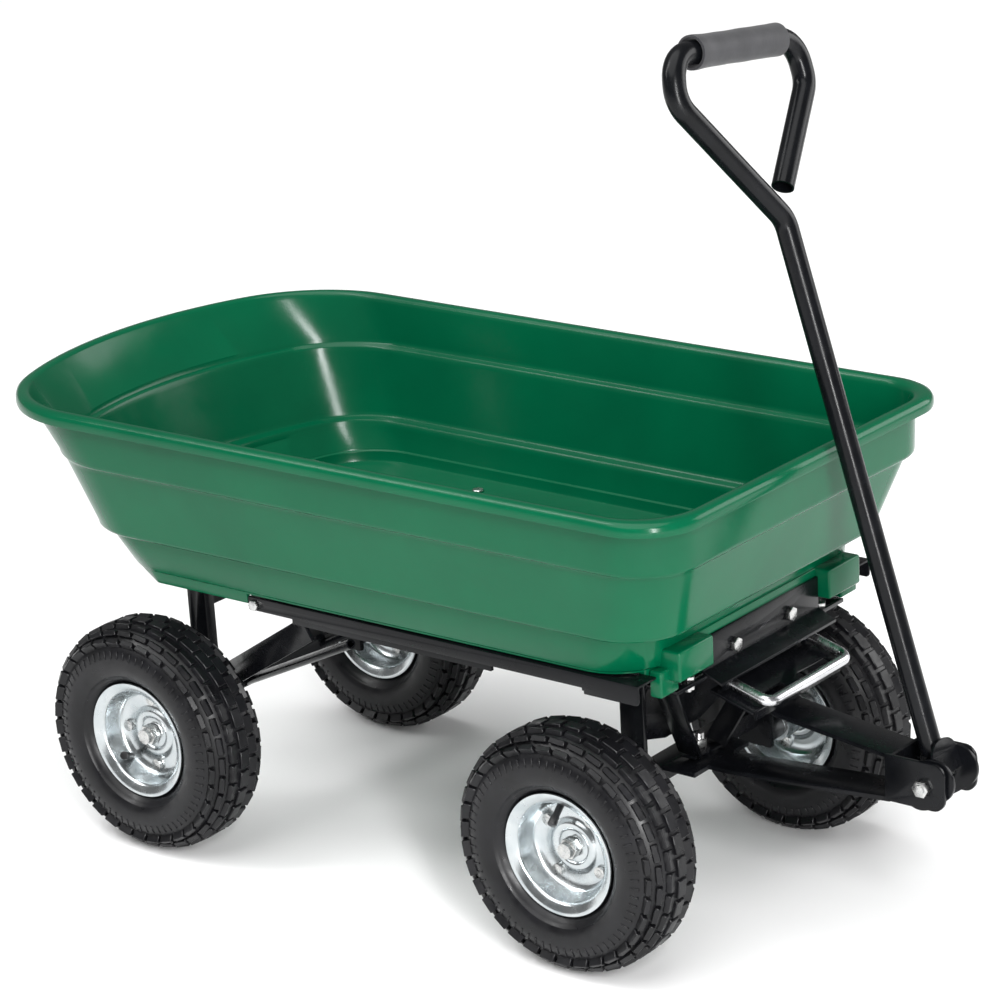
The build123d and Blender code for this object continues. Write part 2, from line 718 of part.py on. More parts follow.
with BuildPart() as tyre:
    with BuildSketch(Plane.XZ):
        with BuildLine():
            tyre_outer = [
                (rim_flange_radius + 1.5, half_rim + 0.5),
                (rim_flange_radius + 14.0, half_tyre - 2.0),
                (rim_flange_radius + 30.0, half_tyre),
                (wheel_radius - tyre_crown_drop - 5.0, half_tyre - 7.0),
                (wheel_radius - 3.0, half_tyre - 22.0),
                (wheel_radius, 0.0),
                (wheel_radius - 3.0, -half_tyre + 22.0),
                (wheel_radius - tyre_crown_drop - 5.0, -half_tyre + 7.0),
                (rim_flange_radius + 30.0, -half_tyre),
                (rim_flange_radius + 14.0, -half_tyre + 2.0),
                (rim_flange_radius + 1.5, -half_rim - 0.5),
            ]
            Spline(*tyre_outer)
            Polyline(
                tyre_outer[-1],
                (57.9, -25.0),
                (55.4, -20.5),
                (57.5, -15.5),
                (66.0, -21.0),
                (86.0, -33.0),
                (105.0, -29.0),
                (116.0, -10.0),
                (116.0, 10.0),
                (105.0, 29.0),
                (86.0, 33.0),
                (66.0, 21.0),
                (57.5, 15.5),
                (55.4, 20.5),
                (57.9, 25.0),
                tyre_outer[0],
            )
        make_face()
    revolve(axis=Axis.Z)


valve_radius = 3.6
valve_line = Location((0, 0, 0), (0, 0, 45)) * Location((-44.0, 0, 13.0), (0, 35, 0))


def rim_half(sign):
    """One pressed half of the bolted rim, dished from its flange to the flat centre."""
    with BuildPart() as half:
        with BuildSketch(Plane.XZ):
            Polygon(
                (hub_radius, 0.0),
                (44.0, 0.0),
                (rim_well_radius, sign * 7.0),
                (rim_well_radius + 4.0, sign * (half_rim - 5.0)),
                (rim_flange_radius - 6.5, sign * (half_rim - 1.5)),
                (rim_flange_radius, sign * (half_rim + 2.0)),
                (rim_flange_radius - 1.0, sign * (half_rim + 4.5)),
                (rim_flange_radius - 9.0, sign * (half_rim + 1.5)),
                (rim_well_radius + 0.8, sign * (half_rim - 3.5)),
                (rim_well_radius - 3.4, sign * 9.0),
                (43.0, sign * rim_sheet),
                (hub_radius, sign * rim_sheet),
                align=None,
            )
        revolve(axis=Axis.Z)
        with PolarLocations(rim_bolt_circle, rim_bolt_count):
            Cylinder(3.0, 12.0, mode=Mode.SUBTRACT)
        if sign > 0:
            with Locations(valve_line):
                Cylinder(valve_radius, 40.0, mode=Mode.SUBTRACT)
    return half.part


rim_outer = rim_half(1)
rim_inner = rim_half(-1)

with BuildPart() as hub:
    with Locations((0, 0, (hub_inner_face + hub_outer_face) / 2)):
        Cylinder(hub_radius, hub_outer_face - hub_inner_face)
        Cylinder(axle_radius + running_gap, 80.0, mode=Mode.SUBTRACT)

with BuildPart() as rim_bolts:
    with PolarLocations(rim_bolt_circle, rim_bolt_count):
        Cylinder(3.0, 14.0)
        with Locations((0, 0, rim_sheet + 2.0)):
            Cylinder(6.0, 4.0)
        with Locations((0, 0, -rim_sheet - 2.0)):
            Cylinder(6.0, 4.0)

with BuildPart() as valve:
    with Locations(valve_line):
        Cylinder(valve_radius, 24.0)
    with Locations(valve_line * Location((0, 0, 17.0))):
        Cylinder(4.4, 10.0)

wheel_parts = {
    "tyre": tyre.part,
    "rim_outer": rim_outer,
    "rim_inner": rim_inner,
    "hub": hub.part,
    "rim_bolts": rim_bolts.part,
    "valve": valve.part,
}
# place along X, side, and how far the wheel is turned on its axle
wheel_spots = {
    "front_left": (front_x, 1, 20.0),
    "front_right": (front_x, -1, -125.0),
    "rear_left": (rear_x, 1, 75.0),
    "rear_right": (rear_x, -1, 0.0),
}
for spot, (x, side, turn) in wheel_spots.items():
    for name, shape in wheel_parts.items():
        piece = shape.moved(on_axle(x, side) * Location((0, 0, 0), (0, 0, turn)))
        piece.label = name + "_" + spot
        export_step(piece, "parts/" + name + "_" + spot + ".step")

# axle nuts, one set on the rear frame and one on the steering axle
for name, x in (("rear", rear_x), ("front", front_x)):
    with BuildPart() as axle_nuts:
        for side in (-1, 1):
            with BuildSketch(Plane.XZ.offset(-side * (track / 2 + hub_outer_face + 5.5))):
                with Locations((x, wheel_z)):
                    RegularPolygon(11.0, 6)
                    Circle(axle_radius, mode=Mode.SUBTRACT)
            extrude(amount=5.0, both=True)
    axle_nuts.part.label = "axle_nuts_" + name
    export_step(axle_nuts.part, "parts/axle_nuts_" + name + ".step")
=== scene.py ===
"""Tipping garden cart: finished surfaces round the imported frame."""
import json
import logging
import math
from dataclasses import dataclass, field
from enum import Enum

import bmesh
import bpy
from mathutils import Matrix, Vector


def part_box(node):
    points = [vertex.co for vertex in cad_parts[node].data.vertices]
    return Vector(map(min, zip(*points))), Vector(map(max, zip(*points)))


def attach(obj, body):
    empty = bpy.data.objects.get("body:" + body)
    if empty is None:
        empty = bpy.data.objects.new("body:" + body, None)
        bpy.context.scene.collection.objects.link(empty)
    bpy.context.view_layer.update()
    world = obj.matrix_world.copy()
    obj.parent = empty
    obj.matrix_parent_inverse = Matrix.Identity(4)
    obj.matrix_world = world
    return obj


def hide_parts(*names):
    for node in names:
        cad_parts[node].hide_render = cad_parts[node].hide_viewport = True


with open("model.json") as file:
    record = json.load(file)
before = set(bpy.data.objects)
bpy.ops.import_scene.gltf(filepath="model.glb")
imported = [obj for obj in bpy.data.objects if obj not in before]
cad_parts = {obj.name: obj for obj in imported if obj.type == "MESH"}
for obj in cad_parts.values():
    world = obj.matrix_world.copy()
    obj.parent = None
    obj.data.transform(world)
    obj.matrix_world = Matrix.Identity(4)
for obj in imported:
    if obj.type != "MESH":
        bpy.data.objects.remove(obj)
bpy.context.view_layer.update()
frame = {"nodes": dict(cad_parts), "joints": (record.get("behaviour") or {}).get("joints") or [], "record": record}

log = logging.getLogger("garden_cart")

MM = 0.001
JOINTS = {joint["name"]: joint for joint in frame["joints"]}
REAR_X = JOINTS["tub_tilt"]["pos_m"][0]
MERGE_DISTANCE = 1e-5
FINE_MERGE = 2e-6

# One corner of a box: X from the rear axle, Y and Z, in millimetres.
Corner = tuple[float, float, float]


class Spot(Enum):
    """The four wheels, by place."""

    FRONT_LEFT = "front_left"
    FRONT_RIGHT = "front_right"
    REAR_LEFT = "rear_left"
    REAR_RIGHT = "rear_right"

    @property
    def centre(self) -> Vector:
        """Centre of the wheel on its axle."""
        return Vector(JOINTS["wheel_spin_" + self.value]["pos_m"])

    @property
    def side(self) -> int:
        """+1 on the cart's left, -1 on its right."""
        return 1 if self.centre.y > 0 else -1


# ---------------------------------------------------------------- colour and nodes
def linear(hex_colour: str) -> tuple[float, float, float, float]:
    """Turn an sRGB hex colour into linear values.

    Args:
        hex_colour: six digits after a hash.

    Returns:
        Red, green, blue and alpha.
    """
    channels = [int(hex_colour[i : i + 2], 16) / 255 for i in (1, 3, 5)]
    curved = [c / 12.92 if c <= 0.04045 else ((c + 0.055) / 1.055) ** 2.4 for c in channels]
    return (curved[0], curved[1], curved[2], 1.0)


def add_node(
    tree: bpy.types.NodeTree,
    kind: str,
    values: dict | None = None,
    links: dict | None = None,
    **settings: object,
) -> bpy.types.Node:
    """Add one node with its settings, values and links.

    Args:
        tree: the material's node tree.
        kind: the node's type name.
        values: input name or number to constant.
        links: input name or number to the socket that feeds it.
        settings: the node's own properties.

    Returns:
        The new node.
    """
    node = tree.nodes.new(kind)
    for name, value in settings.items():
        setattr(node, name, value)
    for name, value in (values or {}).items():
        node.inputs[name].default_value = value
    for name, source in (links or {}).items():
        tree.links.new(source, node.inputs[name])
    return node


@dataclass(frozen=True)
class Finish:
    """One surface finish: two tones, a roughness range, and patterns sized in millimetres."""

    name: str
    tone: str
    second_tone: str
    metallic: float = 0.0
    roughness: float = 0.4
    roughness_spread: float = 0.1
    tone_mm: float = 60.0
    grain_mm: float = 2.0
    grain_depth_mm: float = 0.02
    mottle_mm: float = 12.0
    mottle_depth_mm: float = 0.0
    sheen: float = 0.0
    shine: float = 0.5
    stretch: tuple[float, float, float] = (1.0, 1.0, 1.0)
    cells: bool = False

    def material(self) -> bpy.types.Material:
        """Build the finish as a node material, or return the one already made."""
        made = bpy.data.materials.get(self.name)
        if made:
            return made
        made = bpy.data.materials.new(self.name)
        made.use_nodes = True
        tree = made.node_tree
        shader = tree.nodes["Principled BSDF"]
        place = add_node(tree, "ShaderNodeTexCoord")
        spread = add_node(
            tree, "ShaderNodeMapping", {"Scale": self.stretch}, {"Vector": place.outputs["Object"]}
        )
        at = spread.outputs["Vector"]
        tone = add_node(
            tree,
            "ShaderNodeTexNoise",
            {"Scale": 1 / (self.tone_mm * MM), "Detail": 4.0, "Roughness": 0.55},
            {"Vector": at},
        )
        blend = add_node(
            tree,
            "ShaderNodeMapRange",
            {"From Min": 0.32, "From Max": 0.68},
            {"Value": tone.outputs["Fac"]},
        )
        colour = add_node(
            tree,
            "ShaderNodeMix",
            {6: linear(self.tone), 7: linear(self.second_tone)},
            {0: blend.outputs["Result"]},
            data_type="RGBA",
        )
        tree.links.new(colour.outputs[2], shader.inputs["Base Color"])
        fine = add_node(
            tree,
            "ShaderNodeTexNoise",
            {"Scale": 1 / (self.mottle_mm * MM), "Detail": 5.0},
            {"Vector": at},
        )
        gloss = add_node(
            tree,
            "ShaderNodeMapRange",
            {
                "From Min": 0.3,
                "From Max": 0.7,
                "To Min": max(0.02, self.roughness - self.roughness_spread),
                "To Max": min(1.0, self.roughness + self.roughness_spread),
            },
            {"Value": fine.outputs["Fac"]},
        )
        tree.links.new(gloss.outputs["Result"], shader.inputs["Roughness"])
        if self.cells:
            grain = add_node(
                tree,
                "ShaderNodeTexVoronoi",
                {"Scale": 1 / (self.grain_mm * MM)},
                {"Vector": at},
            )
            height = grain.outputs["Distance"]
        else:
            grain = add_node(
                tree,
                "ShaderNodeTexNoise",
                {"Scale": 1 / (self.grain_mm * MM), "Detail": 2.0},
                {"Vector": at},
            )
            height = grain.outputs["Fac"]
        bump = add_node(
            tree,
            "ShaderNodeBump",
            {"Strength": 1.0, "Distance": self.grain_depth_mm * MM},
            {"Height": height},
        )
        normal = bump.outputs["Normal"]
        if self.mottle_depth_mm:
            wave = add_node(
                tree,
                "ShaderNodeBump",
                {"Strength": 1.0, "Distance": self.mottle_depth_mm * MM},
                {"Height": fine.outputs["Fac"], "Normal": normal},
            )
            normal = wave.outputs["Normal"]
        tree.links.new(normal, shader.inputs["Normal"])
        shader.inputs["Metallic"].default_value = self.metallic
        shader.inputs["Specular IOR Level"].default_value = self.shine
        shader.inputs["Sheen Weight"].default_value = self.sheen
        return made


# Injection-moulded polypropylene: waxy and glossy, with long soft flow waves and a fine skin.
POLYPROPYLENE = Finish(
    name="green_polypropylene",
    tone="#015537",
    second_tone="#014D32",
    roughness=0.2,
    roughness_spread=0.05,
    tone_mm=140.0,
    grain_mm=2.6,
    grain_depth_mm=0.012,
    mottle_mm=60.0,
    mottle_depth_mm=0.5,
    shine=0.22,
)
# Stoved black enamel on steel: deep gloss that gathers into soft orange peel.
ENAMEL = Finish(
    name="black_stoved_enamel",
    tone="#08090B",
    second_tone="#0E0F12",
    roughness=0.24,
    roughness_spread=0.06,
    tone_mm=30.0,
    grain_mm=3.0,
    grain_depth_mm=0.02,
    mottle_mm=22.0,
    mottle_depth_mm=0.04,
    shine=0.18,
)
# Bright zinc plate on pressed steel: cool silver, faintly clouded by the passivation bath.
ZINC = Finish(
    name="zinc_plated_steel",
    tone="#CACECF",
    second_tone="#B4BBBE",
    metallic=1.0,
    roughness=0.24,
    roughness_spread=0.06,
    tone_mm=26.0,
    grain_mm=1.4,
    grain_depth_mm=0.006,
    mottle_mm=16.0,
    mottle_depth_mm=0.05,
)
# Zinc-plated fasteners: a little rougher and warmer than the rims.
FASTENER_ZINC = Finish(
    name="zinc_plated_fastener",
    tone="#CFCFCD",
    second_tone="#B2B3B3",
    metallic=1.0,
    roughness=0.28,
    roughness_spread=0.08,
    tone_mm=5.0,
    grain_mm=0.7,
    grain_depth_mm=0.008,
    mottle_mm=3.0,
)
# Carbon-black tyre rubber: satin from the mould, faintly dusty, with a fine skin.
RUBBER = Finish(
    name="carbon_black_rubber",
    tone="#0B0B0D",
    second_tone="#131316",
    shine=0.3,
    roughness=0.36,
    roughness_spread=0.1,
    tone_mm=30.0,
    grain_mm=1.6,
    grain_depth_mm=0.04,
    mottle_mm=10.0,
    mottle_depth_mm=0.08,
)
# Closed-cell foam sleeve: dark grey and soft, with tiny cells on its skinned surface.
FOAM = Finish(
    name="closed_cell_foam",
    tone="#242428",
    second_tone="#1D1D21",
    roughness=0.62,
    roughness_spread=0.08,
    tone_mm=12.0,
    grain_mm=1.2,
    grain_depth_mm=0.07,
    mottle_mm=20.0,
    mottle_depth_mm=0.3,
    sheen=0.15,
    cells=True,
)
# Nickel-plated rod: bright, with faint lengthwise drawing marks.
DRAWN_ROD = Finish(
    name="plated_drawn_rod",
    tone="#D6D6D8",
    second_tone="#BDBEC1",
    metallic=1.0,
    roughness=0.26,
    roughness_spread=0.06,
    tone_mm=8.0,
    grain_mm=0.9,
    grain_depth_mm=0.01,
    mottle_mm=4.0,
    stretch=(1.0, 0.15, 1.0),
)
# Moulded valve stem and cap rubber: satin.
STEM_RUBBER = Finish(
    name="valve_stem_rubber",
    tone="#0C0C0E",
    second_tone="#141416",
    roughness=0.38,
    roughness_spread=0.08,
    tone_mm=4.0,
    grain_mm=0.8,
    grain_depth_mm=0.02,
    mottle_mm=2.0,
)
FINISH_OF_SLOT = {
    "tub_plastic": POLYPROPYLENE,
    "tyre_rubber": RUBBER,
    "grip_foam": FOAM,
    "zinc_wheel": ZINC,
    "valve_rubber": STEM_RUBBER,
    "zinc_fastener": FASTENER_ZINC,
    "chromed_rod": DRAWN_ROD,
    "black_steel": ENAMEL,
}


# ---------------------------------------------------------------- bench tools
def deselect() -> None:
    """Clear the selection, which every operator acts on."""
    for thing in bpy.context.selected_objects:
        thing.select_set(False)


def pick(piece: bpy.types.Object) -> None:
    """Make one piece the only selected and active one."""
    deselect()
    piece.select_set(True)
    bpy.context.view_layer.objects.active = piece


def edit(piece: bpy.types.Object) -> bmesh.types.BMesh:
    """Open a piece in edit mode.

    Args:
        piece: the piece to open.

    Returns:
        Its edit mesh.
    """
    pick(piece)
    bpy.ops.object.mode_set(mode="EDIT")
    return bmesh.from_edit_mesh(piece.data)


def close(piece: bpy.types.Object) -> None:
    """Write the edit mesh back and leave edit mode."""
    bmesh.update_edit_mesh(piece.data)
    bpy.ops.object.mode_set(mode="OBJECT")


def place_in_mesh(piece: bpy.types.Object) -> None:
    """Put the object's place, turn and scale into its mesh."""
    pick(piece)
    bpy.ops.object.transform_apply(location=True, rotation=True, scale=True)


def apply_modifier(piece: bpy.types.Object, kind: str, **settings: object) -> None:
    """Add one modifier and apply it.

    Args:
        piece: the piece to change.
        kind: the modifier's type.
        settings: the modifier's properties.
    """
    pick(piece)
    modifier = piece.modifiers.new(kind.lower(), kind)
    for name, value in settings.items():
        setattr(modifier, name, value)
    bpy.ops.object.modifier_apply(modifier=modifier.name)


def soften_edges(piece: bpy.types.Object, width_mm: float, segments: int = 2) -> None:
    """Round the sharp edges of a piece."""
    apply_modifier(
        piece,
        "BEVEL",
        width=width_mm * MM,
        segments=segments,
        limit_method="ANGLE",
        angle_limit=math.radians(28),
        miter_outer="MITER_ARC",
        use_clamp_overlap=True,
    )


def shade(piece: bpy.types.Object, degrees: float = 30.0) -> None:
    """Smooth the shading up to an angle."""
    pick(piece)
    bpy.ops.object.shade_smooth_by_angle(angle=math.radians(degrees))


def dress(piece: bpy.types.Object, finish: Finish) -> None:
    """Give a piece one finish."""
    piece.data.materials.clear()
    piece.data.materials.append(finish.material())


def settle(
    piece: bpy.types.Object, body: str, finish: Finish, nodes: tuple[str, ...]
) -> bpy.types.Object:
    """Dress a finished piece, hang it on its body and let it stand for its nodes.

    Args:
        piece: the finished piece.
        body: the body it rides on.
        finish: its surface.
        nodes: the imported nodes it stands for.

    Returns:
        The same piece.
    """
    dress(piece, finish)
    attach(piece, body)
    if nodes:
        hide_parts(*nodes)
    log.info("%s: %d faces on %s", piece.name, len(piece.data.polygons), body)
    return piece


def turned(
    name: str, profile: list[tuple[float, float]], steps: int, closed: bool = True
) -> bpy.types.Object:
    """Turn a profile round the Y axis, as on a lathe.

    Args:
        name: the piece's name.
        profile: radius and place along Y, in millimetres.
        steps: number of stations round the axis.
        closed: whether the last point joins the first.

    Returns:
        The turned piece, at the origin.
    """
    bpy.ops.mesh.primitive_plane_add(size=MM, location=(profile[0][0] * MM, profile[0][1] * MM, 0))
    piece = bpy.context.object
    piece.name = name
    place_in_mesh(piece)
    edit(piece)
    bpy.ops.mesh.select_all(action="SELECT")
    bpy.ops.mesh.merge(type="CENTER")
    bpy.ops.mesh.select_all(action="SELECT")
    for (r0, y0), (r1, y1) in zip(profile, profile[1:]):
        move = ((r1 - r0) * MM, (y1 - y0) * MM, 0.0)
        bpy.ops.mesh.extrude_region_move(TRANSFORM_OT_translate={"value": move})
    bpy.ops.mesh.select_all(action="SELECT")
    if closed:
        mesh = bmesh.from_edit_mesh(piece.data)
        mesh.verts.ensure_lookup_table()
        ends = [v for v in mesh.verts if len(v.link_edges) == 1]
        mesh.edges.new(ends)
        bmesh.update_edit_mesh(piece.data)
    bpy.ops.mesh.select_all(action="SELECT")
    bpy.ops.mesh.spin(steps=steps, angle=math.tau, center=(0, 0, 0), axis=(0, 1, 0))
    bpy.ops.mesh.select_all(action="SELECT")
    bpy.ops.mesh.remove_doubles(threshold=MERGE_DISTANCE)
    bpy.ops.mesh.normals_make_consistent(inside=False)
    bpy.ops.object.mode_set(mode="OBJECT")
    return piece


def copy_piece(piece: bpy.types.Object, name: str, move: Matrix) -> bpy.types.Object:
    """Copy a piece with its own mesh and move the mesh.

    Args:
        piece: the piece to copy.
        name: the copy's name.
        move: where the copy's mesh goes.

    Returns:
        The copy.
    """
    made = piece.copy()
    made.data = piece.data.copy()
    made.name = name
    made.data.transform(move)
    bpy.context.scene.collection.objects.link(made)
    return made


def join_all(pieces: list[bpy.types.Object], name: str) -> bpy.types.Object:
    """Join pieces into one object.

    Args:
        pieces: what to join; the first one keeps its place.
        name: the joined piece's name.

    Returns:
        The joined piece.
    """
    deselect()
    for piece in pieces:
        piece.select_set(True)
    bpy.context.view_layer.objects.active = pieces[0]
    bpy.ops.object.join()
    joined = bpy.context.object
    joined.name = name
    return joined


# ---------------------------------------------------------------- steelwork and fasteners
@dataclass
class MachinedParts:
    """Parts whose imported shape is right: merged, edge-rounded copies stand for them."""

    edge_mm: dict[str, float] = field(
        default_factory=lambda: {
            "rail": 0.8,
            "brace": 0.8,
            "front_pedestal": 0.9,
            "vee_strap": 0.8,
            "rear_axle_frame": 1.4,
            "steering_axle": 1.4,
            "tongue": 1.3,
            "handle_bracket": 1.2,
            "latch_bracket": 0.8,
            "latch_keeper": 0.8,
            "pivot": 0.6,
            "clevis_bolt": 0.6,
            "frame_bolts": 0.6,
            "tub_bolts": 0.6,
            "kingpin": 0.7,
            "axle_nuts": 0.8,
            "rim_bolts": 0.9,
            "hub": 0.9,
            "valve": 0.5,
        }
    )
    smooth_only: tuple[str, ...] = ("pull_tube", "tie_tube", "latch_handle")
    axled: tuple[str, ...] = ("rear_axle_frame", "steering_axle")
    stub_from: float = 0.149
    flat_within: float = 0.6
    smooth_within: float = 32.0

    def finished(self, node: str, width: float) -> bpy.types.Object:
        """Make a merged and edge-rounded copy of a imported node.

        Args:
            node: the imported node.
            width: edge rounding in millimetres, or 0 for none.

        Returns:
            The finished copy.
        """
        made = copy_piece(frame["nodes"][node], node + "_finished", Matrix.Identity(4))
        made.parent = None
        made.matrix_world = Matrix.Identity(4)
        for key in list(made.keys()):
            del made[key]
        edit(made)
        bpy.ops.mesh.select_all(action="SELECT")
        bpy.ops.mesh.customdata_custom_splitnormals_clear()
        bpy.ops.mesh.remove_doubles(threshold=FINE_MERGE)
        if width:
            bpy.ops.mesh.dissolve_limited(angle_limit=math.radians(self.flat_within))
        bpy.ops.object.mode_set(mode="OBJECT")
        if width:
            soften_edges(made, width)
        shade(made, self.smooth_within)
        return made

    def bare_ends(self, made: bpy.types.Object) -> None:
        """Leave the stub axles plated: faces of the outer ends take the fastener finish."""
        made.data.materials.append(FASTENER_ZINC.material())
        for face in made.data.polygons:
            if abs(face.center.y) > self.stub_from:
                face.material_index = 1

    def build(self) -> None:
        """Finish every such node and put each on its body."""
        record = frame["record"]
        slots = {part["node"]: part["material_slot"] for part in record["subparts"]}
        groups = record["behaviour"]["bodies"]
        body_of = {node: body for body, nodes in groups.items() for node in nodes}
        for node in sorted(frame["nodes"]):
            widths = [w for stem, w in self.edge_mm.items() if node.startswith(stem)]
            plain = any(node.startswith(stem) for stem in self.smooth_only)
            if not widths and not plain:
                continue
            made = self.finished(node, widths[0] if widths else 0.0)
            settle(made, body_of[node], FINISH_OF_SLOT[slots[node]], (node,))
            if node in self.axled:
                self.bare_ends(made)


# ---------------------------------------------------------------- tub
REAR_STEPS = 14
CORNER_STEPS = 16
SIDE_STEPS = 16
NOSE_STEPS = 12
FACE_STEPS = 6
HALVINGS = 60


@dataclass(frozen=True)
class Level:
    """One closed outline of the tub, measured in millimetres from the rear axle."""

    z: float
    half_rear: float
    half_front: float
    rear: float
    front: float
    rear_corner: float
    front_corner: float = 62.0
    rear_arc: float = 430.0
    corner_reach: float = 400.0
    least_corner: float = 6.0

    def at(self, by: float, z: float) -> "Level":
        """The same outline grown sideways and set at another height."""
        return Level(
            z,
            self.half_rear + by,
            self.half_front + by,
            self.rear - by,
            self.front + by,
            max(self.least_corner, self.rear_corner + by),
            self.front_corner + min(0.0, by),
        )

    def outline(self) -> list[Vector]:
        """World places round the outline: bowed rear end, tapering sides, straight front.

        Returns:
            The points of the left half, then the right half mirrored.
        """
        arc, rear_corner, front_corner = self.rear_arc, self.rear_corner, self.front_corner
        centre = self.rear + arc
        start = centre - math.sqrt(arc**2 - self.half_rear**2)
        slope = (self.half_front - self.half_rear) / (self.front - start)
        tilt = math.sqrt(1 + slope**2)

        def inner_y(x: float, radius: float) -> float:
            """Height of the line one radius inside the side."""
            return self.half_rear + slope * (x - start) - radius * tilt

        low, high = self.rear, self.rear + self.corner_reach
        for _ in range(HALVINGS):
            middle = (low + high) / 2
            reach = math.hypot(middle - centre, inner_y(middle, rear_corner))
            low, high = (middle, high) if reach > arc - rear_corner else (low, middle)
        corner = Vector((low, inner_y(low, rear_corner)))
        to_arc = math.atan2(corner.y, corner.x - centre)
        to_side = math.atan2(1.0, -slope)
        nose = Vector((self.front - front_corner, inner_y(self.front - front_corner, front_corner)))

        def swing(middle: Vector, radius: float, start: float, end: float, steps: int) -> list[Vector]:
            """Points along an arc, its first one left out."""
            angles = [start + (end - start) * i / steps for i in range(1, steps + 1)]
            return [middle + radius * Vector((math.cos(a), math.sin(a))) for a in angles]

        half = [Vector((self.rear, 0.0))]
        half += swing(Vector((centre, 0.0)), arc, math.pi, to_arc, REAR_STEPS)
        half += swing(corner, rear_corner, to_arc, to_side, CORNER_STEPS)
        first = half[-1]
        last = nose + front_corner * Vector((math.cos(to_side), math.sin(to_side)))
        half += [first.lerp(last, i / SIDE_STEPS) for i in range(1, SIDE_STEPS + 1)]
        half += swing(nose, front_corner, to_side, 0.0, NOSE_STEPS)
        face = half[-1]
        half += [Vector((face.x, face.y * (1 - i / FACE_STEPS))) for i in range(1, FACE_STEPS + 1)]
        flat = half + [Vector((p.x, -p.y)) for p in half[-2:0:-1]]
        return [Vector((REAR_X + p.x * MM, p.y * MM, self.z * MM)) for p in flat]


